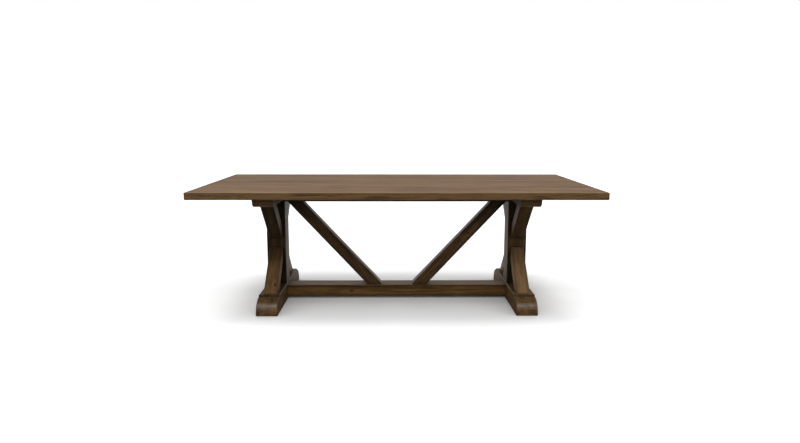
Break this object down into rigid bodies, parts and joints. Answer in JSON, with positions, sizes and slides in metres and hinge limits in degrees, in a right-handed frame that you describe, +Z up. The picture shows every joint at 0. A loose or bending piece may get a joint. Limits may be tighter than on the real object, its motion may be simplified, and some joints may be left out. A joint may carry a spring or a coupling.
{
  "type": "trestle dining table",
  "caption": "Long rectangular plank-top dining table on two trestles of post, sled foot and splayed legs, tied by a low stretcher, a top rail and diagonal braces.",
  "frame": {"origin": "on the floor, under the middle of the tabletop", "axes": "+X along the length of the table, +Y across it, +Z up"},
  "size_m": [2.4, 1.1, 0.77],
  "materials": {
    "top_wood": "stained hardwood, matt lacquer with a soft sheen, fine lengthwise grain",
    "base_wood": "dark walnut stain on brushed softwood, matt, worn lighter on the arrises",
    "tenon_wood": "unfinished beech",
    "bolt_steel": "zinc-plated steel, dull",
    "pad_felt": "dense dark felt"
  },
  "bodies": {
    "root": {"top_board_1": "top_wood", "top_board_2": "top_wood", "top_board_3": "top_wood", "top_board_4": "top_wood", "top_board_5": "top_wood", "top_board_6": "top_wood", "top_board_7": "top_wood", "left_foot": "base_wood", "left_post": "base_wood", "left_bearer": "base_wood", "left_rear_upper_leg": "base_wood", "left_rear_lower_leg": "base_wood", "left_front_upper_leg": "base_wood", "left_front_lower_leg": "base_wood", "right_foot": "base_wood", "right_post": "base_wood", "right_bearer": "base_wood", "right_rear_upper_leg": "base_wood", "right_rear_lower_leg": "base_wood", "right_front_upper_leg": "base_wood", "right_front_lower_leg": "base_wood", "stretcher": "base_wood", "top_rail": "base_wood", "left_brace": "base_wood", "right_brace": "base_wood", "board_tongues": "tenon_wood", "leg_loose_tenons": "tenon_wood", "brace_loose_tenons": "tenon_wood", "stretcher_bolts": "bolt_steel", "stretcher_nuts": "bolt_steel", "rail_bolts": "bolt_steel", "rail_nuts": "bolt_steel", "top_screws": "bolt_steel", "floor_pads": "pad_felt"}
  },
  "joints": []
}
